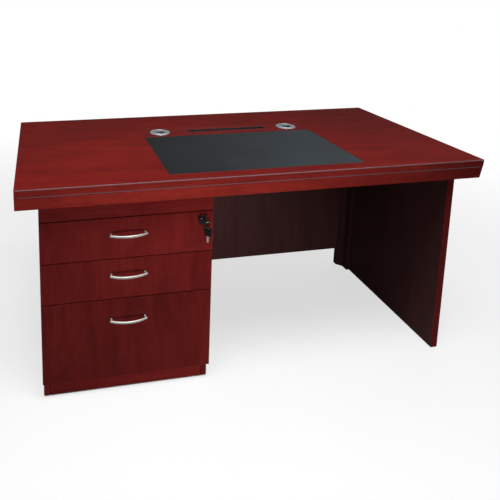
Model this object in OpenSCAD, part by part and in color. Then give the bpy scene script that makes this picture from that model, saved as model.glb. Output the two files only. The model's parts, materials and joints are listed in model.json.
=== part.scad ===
// Teacher desk with a three-drawer pedestal, an inset writing pad and cable outlets.
// Origin: on the floor, below the middle of the top. +X right, +Y away from the user, +Z up.

/* [Desk] */
// Length of the top, left to right
desk_w = 1600; // [1500:10:1800]
// Depth of the top, front to back
desk_d = 750; // [720:10:800]
// Height of the top's surface above the floor
desk_h = 750; // [740:5:770]

/* [Top] */
// Thickness of the top board itself
top_t = 25; // [22:1:30]
// Depth of the whole edge, with the rails under the board
edge_t = 70; // [60:1:80]
// How far the front edge leans back at its bottom
edge_slope = 14; // [8:1:18]
// Radius of the top's four upright corners
corner_r = 5; // [3:1:8]
// Width of the hidden side and back rails
rail_w = 130; // [120:5:140]
// Width of the front rail at its bottom
front_rail_w = 60; // [55:1:70]
// Height of the two grey strips let into the front edge
strip_h = 3; // [2.5:0.5:5]
// Depth of the two grey strips
strip_d = 2; // [2:0.5:4]

/* [Writing pad and cable panel] */
// Width of the pad and of the cable panel behind it
pad_w = 690; // [600:10:750]
// Depth of the pad, front to back
pad_d = 397; // [350:1:400]
// Wood margin between the pad and the front edge
pad_margin = 50; // [40:1:60]
// Distance of the pad's middle to the right of the top's middle
pad_shift = 30; // [0:5:40]
// Thickness of the pad
pad_t = 3; // [2:0.5:4]
// Depth of the cable panel, front to back
cable_d = 117; // [110:1:125]
// Thickness of the cable panel
cable_t = 12; // [10:1:14]
// Distance from the pad's middle line to each cable outlet
outlet_x = 272; // [240:1:285]
// Outside diameter of an outlet's flange
outlet_d = 80; // [76:1:86]
// Length of the cable slot
slot_l = 330; // [280:5:360]
// Width of the cable slot
slot_w = 26; // [20:1:30]
// Distance of the slot's middle to the right of the pad's middle
slot_shift = 10; // [0:1:15]

/* [Pedestal] */
// Distance from the left end of the top to the drawer fronts
overhang = 70; // [60:1:80]
// Width of the drawer fronts
front_w = 564; // [540:1:580]
// Distance from the top's front edge back to the drawer fronts
front_setback = 45; // [40:1:50]
// Thickness of every carcass and leg panel
panel_t = 18; // [16:1:19]
// Height of the plinth under the bottom drawer
plinth_h = 54; // [45:1:60]
// Heights of the bottom, middle and top drawer fronts
front_heights = [281, 137, 138];
// Heights of the bottom, middle and top drawer boxes
box_heights = [240, 100, 105];
// Gap between neighbouring fronts
front_gap = 3; // [2:0.5:4]
// How far a drawer opens
drawer_travel = 440; // [400:10:440]

/* [Handles] */
// Distance between a handle's two feet
handle_pitch = 112; // [96:1:128]
// Overall length of a handle
handle_l = 126; // [118:1:140]
// Gap between the drawer front and a handle's ends
handle_stand = 9; // [8:1:20]
// How far a handle bows out at its middle
handle_bow = 16; // [10:1:20]
// Distances from the tops of the bottom, middle and top fronts down to their handles
handle_drops = [70, 52, 54];

/* [Lock and keys] */
// Distance from the right edge of the fronts to the lock
lock_inset = 40; // [38:1:42]
// Distance from the top of the top front to the lock
lock_drop = 23; // [22:1:25]
// Width of a key's head
key_head_w = 28; // [26:1:30]
// Length of a key's head
key_head_l = 34; // [30:1:36]

/* [Legs] */
// Thickness of the right end panel
end_t = 26; // [22:1:30]
// Distance from the back edge of the top to the back of the legs
rear_setback = 85; // [75:1:90]
// Clear height under the modesty panel
modesty_gap = 85; // [75:1:120]
// Height of the plastic glides under the panels
glide_h = 3; // [2:0.5:5]

/* [Hidden] */

$fn = 64;
EPS = 1;                                  // how far a cutting tool runs past the face it opens

// Colours
WOOD = [0.42, 0.10, 0.09];
WOOD_DARK = [0.30, 0.08, 0.08];
BOX_WOOD = [0.45, 0.16, 0.12];
GREY_STRIP = [0.62, 0.60, 0.63];
PAD_BLUE = [0.18, 0.20, 0.22];
SATIN = [0.78, 0.78, 0.76];
ZINC = [0.66, 0.68, 0.70];
BLACK = [0.05, 0.05, 0.05];

// Top
front_y = -desk_d / 2;
rail_z = desk_h - edge_t;                 // underside of the whole top
board_z = desk_h - top_t;                 // underside of the top board
half_w = desk_w / 2;
slot_in = 1.5;                            // slot trim's wall
fit_gap = 0.3;                            // gap round an inset piece
glue_gap = 0.2;                           // glue line between the side rails and the back rail
pad_left = pad_shift - pad_w / 2;
pad_right = pad_shift + pad_w / 2;
slot_x = pad_shift + slot_shift;
pad_y = front_y + pad_margin;
cable_y = pad_y + pad_d;
outlet_y = cable_y + cable_d / 2;
ledge = 20;                               // width of the ledge that the cable panel rests on

// Pedestal: x and y of its faces
front_x = -half_w + overhang;
face_y = front_y + front_setback;         // outer face of the drawer fronts
side_inset = 3;                           // fronts stand proud of the sides by this much
left_x = front_x + side_inset;
right_x = front_x + front_w - side_inset;
case_y = face_y + panel_t + 1;            // front edges of the carcass
leg_y = desk_d / 2 - rear_setback;        // back of the carcass and the legs
in_left = left_x + panel_t;
in_right = right_x - panel_t;

// Drawers, counted from the top: drawer 1 is the last entry of each list
function row(n) = 3 - n;
function front_z(i) = (i == 0 ? plinth_h : front_top(i - 1)) + front_gap;
function front_top(i) = front_z(i) + front_heights[i];
front_rail_z = front_top(2) + front_gap;
box_t = 12;                               // drawer box boards
slide_w = 13;                             // room for a slide beside a box
slide_l = drawer_travel + 10;
slide_h = 45;
steel = 1.2;                              // slide steel
box_left = in_left + slide_w;
box_right = in_right - slide_w;
box_y = face_y + panel_t;
box_l = 470;
end_drops = [12, 12, 22];                 // box's front and back boards stop this far below its sides
box_lift = 16;                            // bottom of a box above the bottom of its front
bottom_t = 5;                             // drawer bottom panel
groove = 5;                               // depth of the groove that holds it
groove_lift = 10;                         // height of that groove above the box's bottom edge
slide_drops = [130, 57, 62];              // slide's middle line below the top of each box
function box_z(i) = front_z(i) + box_lift;
function slide_z(i) = box_z(i) + box_heights[i] - slide_drops[i];

// Lock
lock_x = front_x + front_w - lock_inset;
lock_z = front_top(2) - lock_drop;
body_r = 9;
plug_r = 6;
plug_gap = 0.05;                          // running clearance round the plug
plug_back = 24;                           // plug's end behind the drawer's face
cam_y = face_y + plug_back;
cam_t = 2;
cam_l = 42;
key_t = 2;
blade_w = 7.6;
head_t = 2.4;
collar_h = 6;                             // lock's round collar in front of the drawer
head_y = face_y - collar_h - 2;           // near end of the inserted key's head
blade_in = 13;                            // how far the key goes in behind the face
slot_r = 2.8;                             // half the width of the slot in a key's head
slot_half = 6.5;                          // slot's end centres, either side of the middle
slot_back = 5.7;                          // slot's centre line from the head's far end
ring_r = 10.5;
wire_r = 0.8;
strip_x = slot_half + slot_r;             // inner edge of the strip of head that carries the ring
ring_x = lock_x + (strip_x + key_head_w / 2) / 2;
ring_rest = ring_r - wire_r - 0.15;       // radius that the strip's corners reach
ring_z = lock_z + head_t / 2 - sqrt(pow(ring_rest, 2) - pow((key_head_w / 2 - strip_x) / 2, 2));
hole_y = head_y - key_head_l + slot_back;
spare_turn = -50;                         // turn of the hanging key about the vertical

// ---------------------------------------------------------------- helpers

// A board between two corners.
module board(x0, x1, y0, y1, z0, z1)
    translate([x0, y0, z0]) cube([x1 - x0, y1 - y0, z1 - z0]);

// Extrudes a Y-Z outline from x0 to x1.
module along_x(x0, x1)
    translate([x0, 0, 0]) rotate([90, 0, 90]) linear_extrude(x1 - x0) children();

// Extrudes an X-Z outline from y0 to y1.
module along_y(y0, y1)
    translate([0, y1, 0]) rotate([90, 0, 0]) linear_extrude(y1 - y0) children();

// A cylinder from y0 to y1 along Y.
module rod_y(r, x, z, y0, y1)
    translate([x, y0, z]) rotate([-90, 0, 0]) cylinder(r = r, h = y1 - y0);

// A bar with round ends, lying along X, with its end centres at +half and -half.
module round_bar(half, r, h) {
    translate([-half, -r, 0]) cube([2 * half, 2 * r, h]);
    for (s = [-1, 1]) translate([s * half, 0, 0]) cylinder(r = r, h = h);
}

// Both sides of the pedestal's middle line: the children are drawn for the left side.
module both_sides() {
    middle = (in_left + in_right) / 2;
    children();
    translate([2 * middle, 0, 0]) mirror([1, 0, 0]) children();
}

// y of the leaning front edge at height z
function edge_y(z) = front_y + (desk_h - z) * edge_slope / edge_t;

// Takes the sharp upright corners off whatever is inside.
module rounded_corners() {
    cut = corner_r + EPS;
    difference() {
        children();
        for (sx = [-1, 1]) for (sy = [-1, 1])
            translate([sx * half_w, sy * desk_d / 2, rail_z - EPS])
                difference() {
                    translate([sx > 0 ? -corner_r : -EPS, sy > 0 ? -corner_r : -EPS, 0])
                        cube([cut, cut, edge_t + 2 * EPS]);
                    translate([-sx * corner_r, -sy * corner_r, -EPS])
                        cylinder(r = corner_r, h = edge_t + 4 * EPS);
                }
    }
}

// ---------------------------------------------------------------- top

module top_board() color(WOOD) rounded_corners() difference() {
    along_x(-half_w, half_w) polygon([
        [edge_y(board_z), board_z], [front_y, desk_h], [desk_d / 2, desk_h], [desk_d / 2, board_z]
    ]);
    // rebate for the upper strip
    board(-half_w + corner_r, half_w - corner_r, front_y - EPS, front_y + strip_d,
          desk_h - strip_h, desk_h + EPS);
    // recess for the pad
    board(pad_left, pad_right, pad_y, cable_y + EPS, desk_h - pad_t, desk_h + EPS);
    // seat and opening for the cable panel
    board(pad_left, pad_right, cable_y, cable_y + cable_d, desk_h - cable_t, desk_h + EPS);
    board(pad_left + ledge, pad_right - ledge, cable_y + ledge, cable_y + cable_d - ledge,
          board_z - EPS, desk_h - cable_t + EPS);
}

lower_strip_z = desk_h - top_t - strip_h;
strip_end = 12;                           // lower strip stops this far from each end

module top_front_rail() color(WOOD) rounded_corners() difference() {
    along_x(-half_w, half_w) polygon([
        [edge_y(rail_z), rail_z], [edge_y(board_z), board_z],
        [edge_y(rail_z) + front_rail_w, board_z], [edge_y(rail_z) + front_rail_w, rail_z]
    ]);
    board(-half_w + strip_end, half_w - strip_end, front_y - EPS, edge_y(board_z) + strip_d,
          lower_strip_z, board_z + EPS);
}

rail_front_y = edge_y(rail_z) + front_rail_w;

module top_edge_rails() color(WOOD) rounded_corners() {
    for (s = [-1, 1])
        board(s < 0 ? -half_w : half_w - rail_w, s < 0 ? -half_w + rail_w : half_w,
              rail_front_y, desk_d / 2 - rail_w - glue_gap, rail_z, board_z);
    board(-half_w, half_w, desk_d / 2 - rail_w, desk_d / 2, rail_z, board_z);
}

module top_cross_rail() color(WOOD_DARK)
    board(right_x - 2 * panel_t, right_x + 2 * panel_t, rail_front_y, cable_y - 12, rail_z, board_z);

// One strip: its face follows the leaning edge between z0 and z1.
module edge_strip(x_end, z0, z1, back) color(GREY_STRIP)
    along_x(-half_w + x_end, half_w - x_end)
        polygon([[edge_y(z0), z0], [edge_y(z1), z1], [back, z1], [back, z0]]);

module upper_edge_strip() edge_strip(corner_r, desk_h - strip_h, desk_h, front_y + strip_d);

module lower_edge_strip()
    edge_strip(strip_end, lower_strip_z, board_z, edge_y(board_z) + strip_d);

module writing_pad() color(PAD_BLUE)
    board(pad_left + fit_gap, pad_right - fit_gap, pad_y + fit_gap, cable_y - fit_gap,
          desk_h - pad_t, desk_h);

// ---------------------------------------------------------------- cable panel

barrel_r = 30;                            // outlet's barrel
cap_seat_r = 28;                          // bore that the cap turns in
cap_bore_r = 25;                          // cable way under the cap
flange_h = 3;

module cable_panel() color(WOOD) difference() {
    board(pad_left + fit_gap, pad_right - fit_gap, cable_y + fit_gap,
          cable_y + cable_d - fit_gap, desk_h - cable_t, desk_h);
    for (s = [-1, 1]) translate([pad_shift + s * outlet_x, outlet_y, desk_h - cable_t - EPS])
        cylinder(r = barrel_r + fit_gap, h = cable_t + 2 * EPS);
    translate([slot_x, outlet_y, desk_h - cable_t - EPS])
        round_bar(slot_l / 2 - slot_w / 2, slot_w / 2, cable_t + 2 * EPS);
}

// Black plastic lining of the slot, with a narrow lip on the panel.
lip = 1.5;
lip_h = 0.8;
slot_half_l = slot_l / 2 - slot_w / 2;

module slot_trim() color(BLACK) translate([slot_x, outlet_y, 0]) difference() {
    union() {
        translate([0, 0, desk_h - cable_t]) round_bar(slot_half_l, slot_w / 2 - 0.1, cable_t);
        translate([0, 0, desk_h]) round_bar(slot_half_l, slot_w / 2 + lip, lip_h);
    }
    translate([0, 0, desk_h - cable_t - EPS])
        round_bar(slot_half_l, slot_w / 2 - slot_in, cable_t + lip_h + 2 * EPS);
}

// Bar that closes the middle of the slot and leaves a cable hole at each end.
cover_half = slot_half_l - 12;

module slot_cover() color(WOOD_DARK)
    board(slot_x - cover_half, slot_x + cover_half, outlet_y - slot_w / 2 + slot_in,
          outlet_y + slot_w / 2 - slot_in, desk_h - cable_t + 2, desk_h - 2);

module outlet_body() difference() {
    union() {
        translate([0, 0, desk_h]) cylinder(r = outlet_d / 2, h = flange_h);
        translate([0, 0, board_z + 3]) cylinder(r = barrel_r, h = top_t - 3);
        translate([0, 0, desk_h + flange_h]) cylinder(r = barrel_r + 1, h = 1);
    }
    translate([0, 0, desk_h - 1]) cylinder(r = cap_seat_r, h = flange_h + 2 + EPS);
    translate([0, 0, board_z]) cylinder(r = cap_bore_r, h = top_t);
}

module outlet_bodies() color(SATIN)
    for (s = [-1, 1]) translate([pad_shift + s * outlet_x, outlet_y, 0]) outlet_body();

cap_hole_r = 14;
cap_hole_half = 2;
cap_hole_y = -9;                          // hole's centre, off the cap's middle

module outlet_cap(x) color(SATIN) translate([x, outlet_y, desk_h - 1 + plug_gap]) difference() {
    cylinder(r = cap_seat_r - plug_gap, h = flange_h);
    translate([0, cap_hole_y, -EPS]) round_bar(cap_hole_half, cap_hole_r, flange_h + 2 * EPS);
}

module outlet_cap_left() outlet_cap(pad_shift - outlet_x);

module outlet_cap_right() outlet_cap(pad_shift + outlet_x);

// ---------------------------------------------------------------- pedestal

module pedestal_left_side() color(WOOD) board(left_x, in_left, case_y, leg_y, glide_h, rail_z);

module pedestal_right_side() color(WOOD) board(in_right, right_x, case_y, leg_y, glide_h, rail_z);

module pedestal_back() color(WOOD) board(in_left, in_right, leg_y - panel_t, leg_y, glide_h, rail_z);

module pedestal_bottom() color(WOOD_DARK)
    board(in_left, in_right, case_y + panel_t, leg_y - panel_t, plinth_h - panel_t, plinth_h);

plinth_gap = 2;                           // open joint between the plinth and each side

module pedestal_plinth() color(WOOD)
    board(in_left + plinth_gap, in_right - plinth_gap, case_y, case_y + panel_t, glide_h, plinth_h);

stretcher_w = 60;

module pedestal_stretchers() color(WOOD_DARK) {
    board(in_left, in_right, case_y, case_y + stretcher_w, rail_z - panel_t, rail_z);
    board(in_left, in_right, leg_y - panel_t - stretcher_w, leg_y - panel_t, rail_z - panel_t, rail_z);
}

module pedestal_front_rail() color(WOOD)
    board(front_x, front_x + front_w, face_y, case_y, front_rail_z, rail_z);

// ---------------------------------------------------------------- legs

end_out = half_w - overhang;
end_in = end_out - end_t;
post_face = 22;                           // the bevel's run in X and in Y
post_wall = 14;                           // post's thickness against the end panel
post_front_y = leg_y - 75;

module end_panel() color(WOOD) board(end_in, end_out, face_y + 2, leg_y, glide_h, rail_z);

// Upright corner board with a 45 degree bevel, between the modesty panel and the end panel.
module corner_post() color(WOOD) translate([0, 0, glide_h]) linear_extrude(rail_z - glide_h)
    polygon([
        [end_in, post_front_y], [end_in - post_wall, post_front_y],
        [end_in - post_wall, leg_y - panel_t - post_face - 2],
        [end_in - post_wall - post_face, leg_y - panel_t - 2],
        [end_in - post_wall - post_face, leg_y], [end_in, leg_y]
    ]);

module modesty_panel() color(WOOD)
    board(right_x, end_in - post_wall - post_face, leg_y - panel_t, leg_y, modesty_gap, rail_z);

// Steel angle: one leg on a wall at x = 0, the other under a ceiling at z = 0.
bracket_leg = 25;
bracket_w = 30;
bracket_t = 2;
bracket_hole = 14;                        // hole's distance from the corner
hole_r = 2.5;
shank_r = 2;

module bracket() difference() {
    union() {
        translate([0, -bracket_w / 2, -bracket_leg]) cube([bracket_t, bracket_w, bracket_leg]);
        translate([0, -bracket_w / 2, -bracket_t]) cube([bracket_leg, bracket_w, bracket_t]);
    }
    translate([-EPS, 0, -bracket_hole]) rotate([0, 90, 0]) cylinder(r = hole_r, h = bracket_t + 2 * EPS);
    translate([bracket_hole, 0, -bracket_t - EPS]) cylinder(r = hole_r, h = bracket_t + 2 * EPS);
}

module bracket_screws() {
    translate([bracket_t, 0, -bracket_hole]) rotate([0, -90, 0]) screw(bracket_t);
    translate([bracket_hole, 0, -bracket_t]) screw(bracket_t);
}

// Pan-head wood screw: the head is below z = 0 and the shank runs up through a plate.
screw_l = 12;

module screw(plate) {
    translate([0, 0, -2]) cylinder(r = 4, h = 2);
    cylinder(r = shank_r, h = plate + screw_l);
}

// Places that have a bracket: on the end panel, on the modesty panel and beside the pedestal.
modesty_mid = (right_x + end_in) / 2;
module at_brackets() {
    for (y = [face_y + 80, 0, post_front_y - 60])
        translate([end_in, y, rail_z]) rotate([0, 0, 180]) children();
    for (x = [modesty_mid - 250, modesty_mid + 200])
        translate([x, leg_y - panel_t, rail_z]) rotate([0, 0, -90]) children();
    for (z = [200, 560])
        translate([right_x, leg_y - panel_t, z]) rotate([-90, 0, 0]) children();
}

module fixing_brackets() color(ZINC) at_brackets() bracket();

module fixing_screws() color(ZINC) {
    at_brackets() bracket_screws();
    for (x = [in_left + 8, in_right - 8])
        for (y = [case_y + 40, leg_y - panel_t - 15])
            translate([x, y, rail_z - panel_t]) screw(panel_t);
}

glide_r = 8;

module floor_glide(x, y) translate([x, y, 0]) {
    cylinder(r1 = glide_r - 1, r2 = glide_r, h = 1);
    translate([0, 0, 1]) cylinder(r = glide_r, h = glide_h - 1);
    cylinder(r = 1, h = glide_h + 10);
}

module floor_glides() color(BLACK) {
    for (y = [case_y + 40, leg_y - 60]) {
        floor_glide(left_x + panel_t / 2, y);
        floor_glide(right_x - panel_t / 2, y);
        floor_glide(end_in + end_t / 2, y);
    }
    floor_glide(end_in - post_wall / 2 - 6, leg_y - 12);
}

// ---------------------------------------------------------------- drawer slides

// C-shaped steel channel, open towards +x: h high, w wide.
module channel(x, z, w, h, open) translate([x, z]) difference() {
    translate([0, -h / 2]) square([w, h]);
    translate([open ? steel : -steel, -h / 2 + steel]) square([w, h - 2 * steel]);
}

slide_y = case_y + 2;
middle_h = slide_h - 7;
inner_h = slide_h - 14;

module slide_cabinet_members() color(ZINC) both_sides()
    for (i = [0:2]) along_y(slide_y, slide_y + slide_l)
        channel(in_left, slide_z(i), 9.5, slide_h, true);

module slide_middle(i) color(ZINC) both_sides() along_y(slide_y, slide_y + slide_l)
    channel(in_left + 2.2, slide_z(i), 9, middle_h, true);

module slide_inner(i) color(ZINC) both_sides() along_y(slide_y, slide_y + slide_l)
    channel(box_left - 8.5, slide_z(i), 8.5, inner_h, false);

module slide_middle_1() slide_middle(row(1));

module slide_middle_2() slide_middle(row(2));

module slide_middle_3() slide_middle(row(3));

module slide_inner_1() slide_inner(row(1));

module slide_inner_2() slide_inner(row(2));

module slide_inner_3() slide_inner(row(3));

// ---------------------------------------------------------------- drawers

handle_x = front_x + front_w / 2;
handle_screw_r = 2;
handle_hole_r = 2.1;
foot_r = 4;

module drawer_front(i) color(WOOD) difference() {
    board(front_x, front_x + front_w, face_y, face_y + panel_t, front_z(i), front_top(i));
    for (s = [-1, 1])
        rod_y(handle_hole_r, handle_x + s * handle_pitch / 2, front_top(i) - handle_drops[i],
              face_y - EPS, face_y + panel_t + EPS);
    if (i == row(1)) rod_y(body_r, lock_x, lock_z, face_y - EPS, face_y + panel_t + EPS);
}

// Notch in the top drawer's right side that clears the lock's nut.
module lock_notch()
    board(box_right - box_t - EPS, box_right + EPS, box_y - EPS, box_y + 16, lock_z - 18, lock_z + 40);

module drawer_sides(i) color(BOX_WOOD) difference() {
    both_sides() difference() {
        board(box_left, box_left + box_t, box_y, box_y + box_l, box_z(i), box_z(i) + box_heights[i]);
        board(box_left + box_t - groove, box_left + box_t + EPS, box_y + box_t - groove,
              box_y + box_l - box_t + groove,
              box_z(i) + groove_lift, box_z(i) + groove_lift + bottom_t);
    }
    if (i == row(1)) lock_notch();
}

// Front and back boards of a box, a little lower than its sides.
module drawer_ends(i) color(BOX_WOOD) for (y = [box_y, box_y + box_l - box_t]) difference() {
    board(box_left + box_t, box_right - box_t, y, y + box_t,
          box_z(i), box_z(i) + box_heights[i] - end_drops[i]);
    board(box_left + box_t - EPS, box_right - box_t + EPS,
          y == box_y ? y + box_t - groove : y - EPS, y == box_y ? y + box_t + EPS : y + groove,
          box_z(i) + groove_lift, box_z(i) + groove_lift + bottom_t);
    if (y == box_y) for (s = [-1, 1])
        rod_y(5, handle_x + s * handle_pitch / 2, front_top(i) - handle_drops[i], y - EPS, y + box_t + EPS);
}

module drawer_bottom(i) color(BOX_WOOD)
    board(box_left + box_t - groove, box_right - box_t + groove,
          box_y + box_t - groove, box_y + box_l - box_t + groove,
          box_z(i) + groove_lift, box_z(i) + groove_lift + bottom_t);

// Bowed bar on two round feet. The bar is an arc of a flat oval section.
foot_gap = 0.05;
grip_h = 8;
grip_t = 5;
grip_chord = handle_l - 4;
grip_r = (pow(grip_chord / 2, 2) + pow(handle_bow, 2)) / (2 * handle_bow);
grip_angle = asin(grip_chord / 2 / grip_r);
grip_y = face_y - handle_stand - grip_t / 2;       // middle of the bar at its ends

module grip_section() {
    translate([-grip_t / 2, -grip_h / 2 + grip_t / 2]) square([grip_t, grip_h - grip_t]);
    for (s = [-1, 1]) translate([0, s * (grip_h - grip_t) / 2]) circle(d = grip_t, $fn = 32);
}

module drawer_handle(i) {
    z = front_top(i) - handle_drops[i];
    foot_in = grip_y - sqrt(pow(grip_r, 2) - pow(handle_pitch / 2, 2)) + grip_r * cos(grip_angle);
    color(SATIN) difference() {
        union() {
            translate([handle_x, grip_y + grip_r * cos(grip_angle), z])
                rotate([0, 0, -90 - grip_angle])
                    rotate_extrude(angle = 2 * grip_angle, $fn = 96)
                        translate([grip_r, 0]) grip_section();
            for (s = [-1, 1])
                rod_y(foot_r, handle_x + s * handle_pitch / 2, z, foot_in, face_y - foot_gap);
        }
        for (s = [-1, 1])
            rod_y(handle_hole_r, handle_x + s * handle_pitch / 2, z, face_y - 12, face_y + EPS);
    }
}

module drawer_screws(i) color(ZINC) for (s = [-1, 1]) {
    x = handle_x + s * handle_pitch / 2;
    z = front_top(i) - handle_drops[i];
    rod_y(handle_screw_r, x, z, face_y - 10, box_y);
    rod_y(4, x, z, box_y, box_y + 2.5);
}

module drawer_1_front() drawer_front(row(1));

module drawer_1_sides() drawer_sides(row(1));

module drawer_1_ends() drawer_ends(row(1));

module drawer_1_bottom() drawer_bottom(row(1));

module drawer_1_handle() drawer_handle(row(1));

module drawer_1_screws() drawer_screws(row(1));

module drawer_2_front() drawer_front(row(2));

module drawer_2_sides() drawer_sides(row(2));

module drawer_2_ends() drawer_ends(row(2));

module drawer_2_bottom() drawer_bottom(row(2));

module drawer_2_handle() drawer_handle(row(2));

module drawer_2_screws() drawer_screws(row(2));

module drawer_3_front() drawer_front(row(3));

module drawer_3_sides() drawer_sides(row(3));

module drawer_3_ends() drawer_ends(row(3));

module drawer_3_bottom() drawer_bottom(row(3));

module drawer_3_handle() drawer_handle(row(3));

module drawer_3_screws() drawer_screws(row(3));

// ---------------------------------------------------------------- lock

flange_r = 11.5;
plug_y = face_y - collar_h + 0.5;         // front of the plug, just inside the collar
nut_y = box_y;
nut_t = 4;

module lock_housing() color(BLACK) difference() {
    union() {
        rod_y(flange_r, lock_x, lock_z, face_y - collar_h, face_y);
        rod_y(body_r, lock_x, lock_z, face_y, cam_y);
    }
    rod_y(plug_r + plug_gap, lock_x, lock_z, face_y - collar_h - EPS, cam_y + EPS);
}

module lock_nut() color(ZINC) difference() {
    translate([lock_x, nut_y, lock_z]) rotate([-90, 0, 0]) cylinder(r = 12.5, h = nut_t, $fn = 6);
    rod_y(body_r, lock_x, lock_z, nut_y - EPS, nut_y + nut_t + EPS);
}

// The keyway lies flat while the lock is open.
module lock_plug() color(BLACK) difference() {
    union() {
        rod_y(plug_r, lock_x, lock_z, plug_y, cam_y);
        rod_y(3, lock_x, lock_z, cam_y, cam_y + cam_t + 3);
    }
    board(lock_x - blade_w / 2 - 0.2, lock_x + blade_w / 2 + 0.2, plug_y - EPS,
          face_y + blade_in + 0.5, lock_z - key_t / 2 - 0.15, lock_z + key_t / 2 + 0.15);
}

// Flat cam on the plug's threaded end: it points left when open and turns up behind the rail.
module lock_cam() color(ZINC) difference() {
    union() {
        rod_y(7, lock_x, lock_z, cam_y, cam_y + cam_t);
        board(lock_x - cam_l, lock_x, cam_y, cam_y + cam_t, lock_z - 6, lock_z + 6);
    }
    rod_y(3, lock_x, lock_z, cam_y - EPS, cam_y + cam_t + EPS);
}

// A key lying flat: its blade runs along +y from y = 0 and its head along -y.
blade_out = 3;                            // length of bare blade's root held in the head

blade_l = face_y - head_y + blade_in;     // length of blade in front of the head
blade_tip = 3;                            // length of its pointed end

module blade_outline() polygon([
    [-blade_w / 2, -blade_out], [blade_w / 2, -blade_out], [blade_w / 2, blade_l - blade_tip],
    [blade_w * 0.2, blade_l], [-blade_w * 0.2, blade_l], [-blade_w / 2, blade_l - blade_tip]
]);

module key_blade_flat() translate([0, 0, -key_t / 2]) difference() {
    linear_extrude(key_t) blade_outline();
    // bitting cuts along one edge
    for (k = [0:2]) translate([blade_w / 2 + 0.6, blade_l - 12.5 + 4 * k, -EPS])
        cylinder(r = 1.6 + 0.3 * (k % 2), h = key_t + 2 * EPS, $fn = 32);
}

head_corner = 7;
head_neck = 9;                            // half the head's width where the blade enters
head_taper = 8;                           // length over which the head widens

// Points of an arc round (cx, cy), from angle a0 to angle a1.
function arc(cx, cy, r, a0, a1) =
    [for (k = [0:12]) let (a = a0 + (a1 - a0) * k / 12) [cx + r * cos(a), cy + r * sin(a)]];

module key_head_flat() translate([0, 0, -head_t / 2]) difference() {
    linear_extrude(head_t) polygon(concat(
        [[-key_head_w / 2, -head_taper], [-head_neck, 0], [head_neck, 0], [key_head_w / 2, -head_taper]],
        arc(key_head_w / 2 - head_corner, -key_head_l + head_corner, head_corner, 0, -90),
        arc(-key_head_w / 2 + head_corner, -key_head_l + head_corner, head_corner, -90, -180)
    ));
    translate([0, -key_head_l + slot_back, -EPS]) round_bar(slot_half, slot_r, head_t + 2 * EPS);
    // socket that the blade's root sits in
    board(-blade_w / 2, blade_w / 2, -blade_out, EPS, head_t / 2 - key_t / 2, head_t / 2 + key_t / 2);
}

module at_lock() translate([lock_x, head_y, lock_z]) children();

// The spare hangs blade down from the bottom of the ring, through the middle of its slot.
module at_spare() translate([ring_x, hole_y, ring_z - ring_r])
    rotate([0, 0, spare_turn]) rotate([-90, 0, 0])
        translate([0, key_head_l - slot_back, 0]) children();

module key_blade() color(SATIN) at_lock() key_blade_flat();

module key_head() color(BLACK) at_lock() key_head_flat();

module key_ring() color(SATIN) translate([ring_x, hole_y, ring_z])
    rotate([90, 0, 0]) rotate_extrude() translate([ring_r, 0]) circle(r = wire_r, $fn = 24);

module spare_key_blade() color(SATIN) at_spare() key_blade_flat();

module spare_key_head() color(BLACK) at_spare() key_head_flat();

// ---------------------------------------------------------------- assembly

top_board();
top_front_rail();
top_edge_rails();
top_cross_rail();
upper_edge_strip();
lower_edge_strip();
writing_pad();
cable_panel();
slot_trim();
slot_cover();
outlet_bodies();
outlet_cap_left();
outlet_cap_right();
pedestal_left_side();
pedestal_right_side();
pedestal_back();
pedestal_bottom();
pedestal_plinth();
pedestal_stretchers();
pedestal_front_rail();
end_panel();
modesty_panel();
corner_post();
fixing_brackets();
fixing_screws();
floor_glides();
slide_cabinet_members();
slide_middle_1();
slide_middle_2();
slide_middle_3();
slide_inner_1();
slide_inner_2();
slide_inner_3();
drawer_1_front();
drawer_1_sides();
drawer_1_ends();
drawer_1_bottom();
drawer_1_handle();
drawer_1_screws();
drawer_2_front();
drawer_2_sides();
drawer_2_ends();
drawer_2_bottom();
drawer_2_handle();
drawer_2_screws();
drawer_3_front();
drawer_3_sides();
drawer_3_ends();
drawer_3_bottom();
drawer_3_handle();
drawer_3_screws();
lock_housing();
lock_nut();
lock_plug();
lock_cam();
key_blade();
key_head();
key_ring();
spare_key_blade();
spare_key_head();
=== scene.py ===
import json
import math

import bmesh
import bpy
from mathutils import Matrix, Vector, noise


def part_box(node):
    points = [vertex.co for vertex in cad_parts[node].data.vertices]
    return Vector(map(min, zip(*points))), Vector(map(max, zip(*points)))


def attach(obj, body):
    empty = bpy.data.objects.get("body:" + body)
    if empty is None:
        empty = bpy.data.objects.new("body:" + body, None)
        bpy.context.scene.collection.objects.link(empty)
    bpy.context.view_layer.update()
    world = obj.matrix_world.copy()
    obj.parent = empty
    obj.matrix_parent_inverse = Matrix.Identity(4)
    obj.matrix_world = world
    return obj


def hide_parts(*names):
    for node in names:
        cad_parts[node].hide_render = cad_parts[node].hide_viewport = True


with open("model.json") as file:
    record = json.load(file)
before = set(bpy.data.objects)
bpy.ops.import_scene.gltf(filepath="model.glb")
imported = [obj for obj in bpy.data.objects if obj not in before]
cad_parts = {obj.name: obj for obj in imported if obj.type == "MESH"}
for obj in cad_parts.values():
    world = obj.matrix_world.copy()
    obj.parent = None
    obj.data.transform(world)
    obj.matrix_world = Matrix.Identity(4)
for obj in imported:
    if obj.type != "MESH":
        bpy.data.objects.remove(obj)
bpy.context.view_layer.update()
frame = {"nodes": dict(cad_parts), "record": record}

MM = 0.001
WHITE = (1, 1, 1, 1)
LEFT, FORWARDS = (-1, 0, 0), (0, -1, 0)
NODES = frame["nodes"]
RECORD = frame["record"]
BODY_OF = {node: body for body, nodes in RECORD["behaviour"]["bodies"].items() for node in nodes}


# ---------------------------------------------------------------- node trees

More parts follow.
